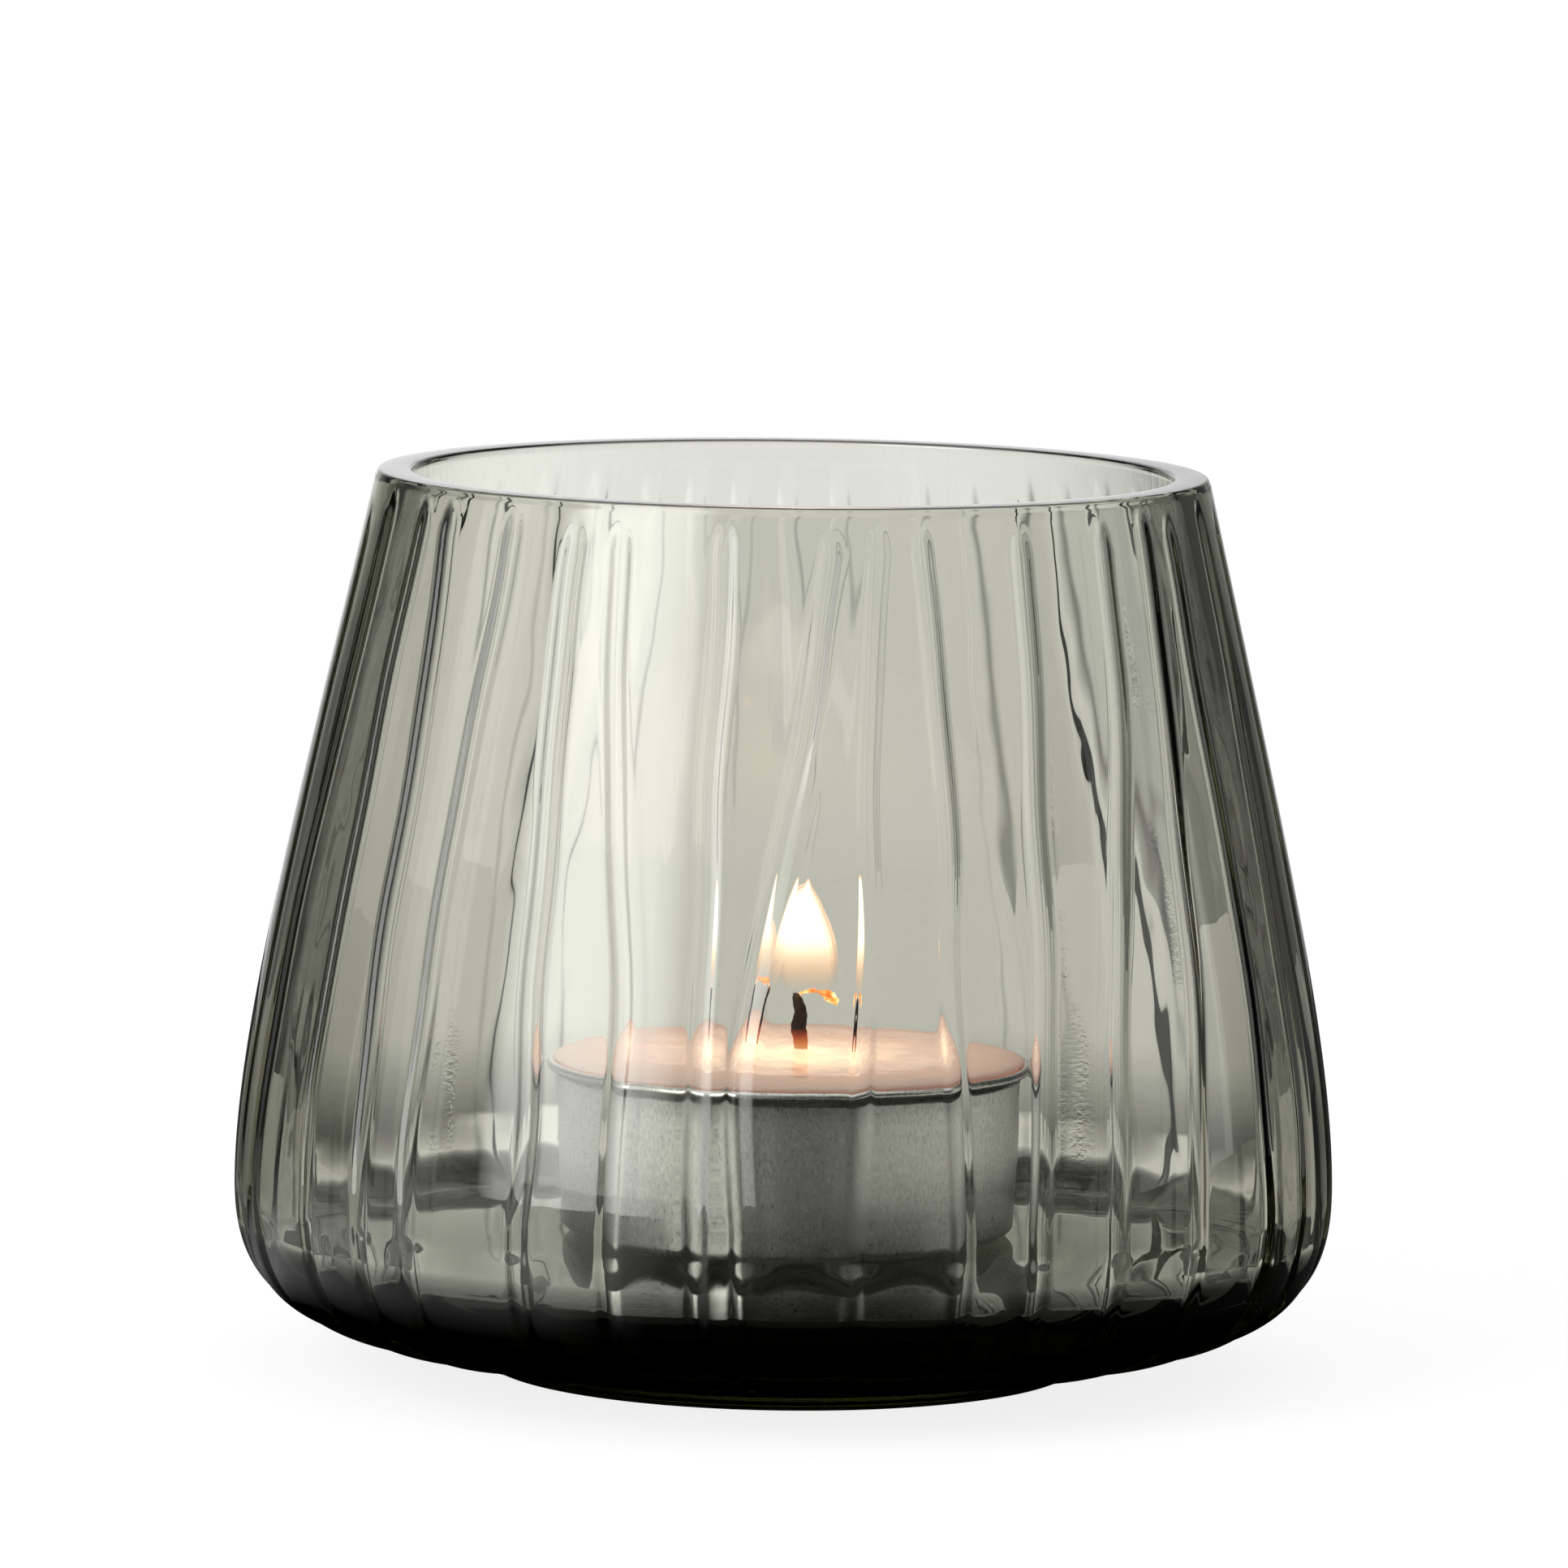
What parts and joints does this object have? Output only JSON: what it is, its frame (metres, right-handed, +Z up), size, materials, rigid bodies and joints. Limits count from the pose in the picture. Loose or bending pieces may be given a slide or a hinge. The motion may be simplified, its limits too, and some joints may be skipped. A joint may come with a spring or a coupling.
{
  "type": "tealight holder",
  "caption": "Smoked-glass tealight holder with vertical grooves, a flat rim, a low round belly and a small foot, holding a tealight in a metal cup.",
  "frame": {"origin": "centre of the foot's underside, on the surface the holder stands on", "axes": "+Z up along the holder's axis; -Y is the front; +X is to the right seen from the front"},
  "size_m": [0.0904, 0.0904, 0.0738],
  "materials": {
    "smoked_glass": "clear, polished, grey-green tint",
    "aluminium": "satin, thin drawn sheet",
    "wax": "soft and translucent, with a glossy melted pool",
    "wick": "burnt braided cotton",
    "tinplate": "thin stamped sheet"
  },
  "bodies": {
    "holder": {"glass_holder": "smoked_glass"},
    "tealight": {"tealight_cup": "aluminium"},
    "candle": {"wax": "wax", "wick": "wick", "wick_tab": "tinplate"}
  },
  "joints": [
    {"name": "tealight_lift", "type": "slide", "parent": "holder", "child": "tealight", "axis": [0, 0, 1], "range_m": [0, 0.08]},
    {"name": "candle_lift", "type": "slide", "parent": "tealight", "child": "candle", "axis": [0, 0, 1], "range_m": [0, 0.02]}
  ]
}
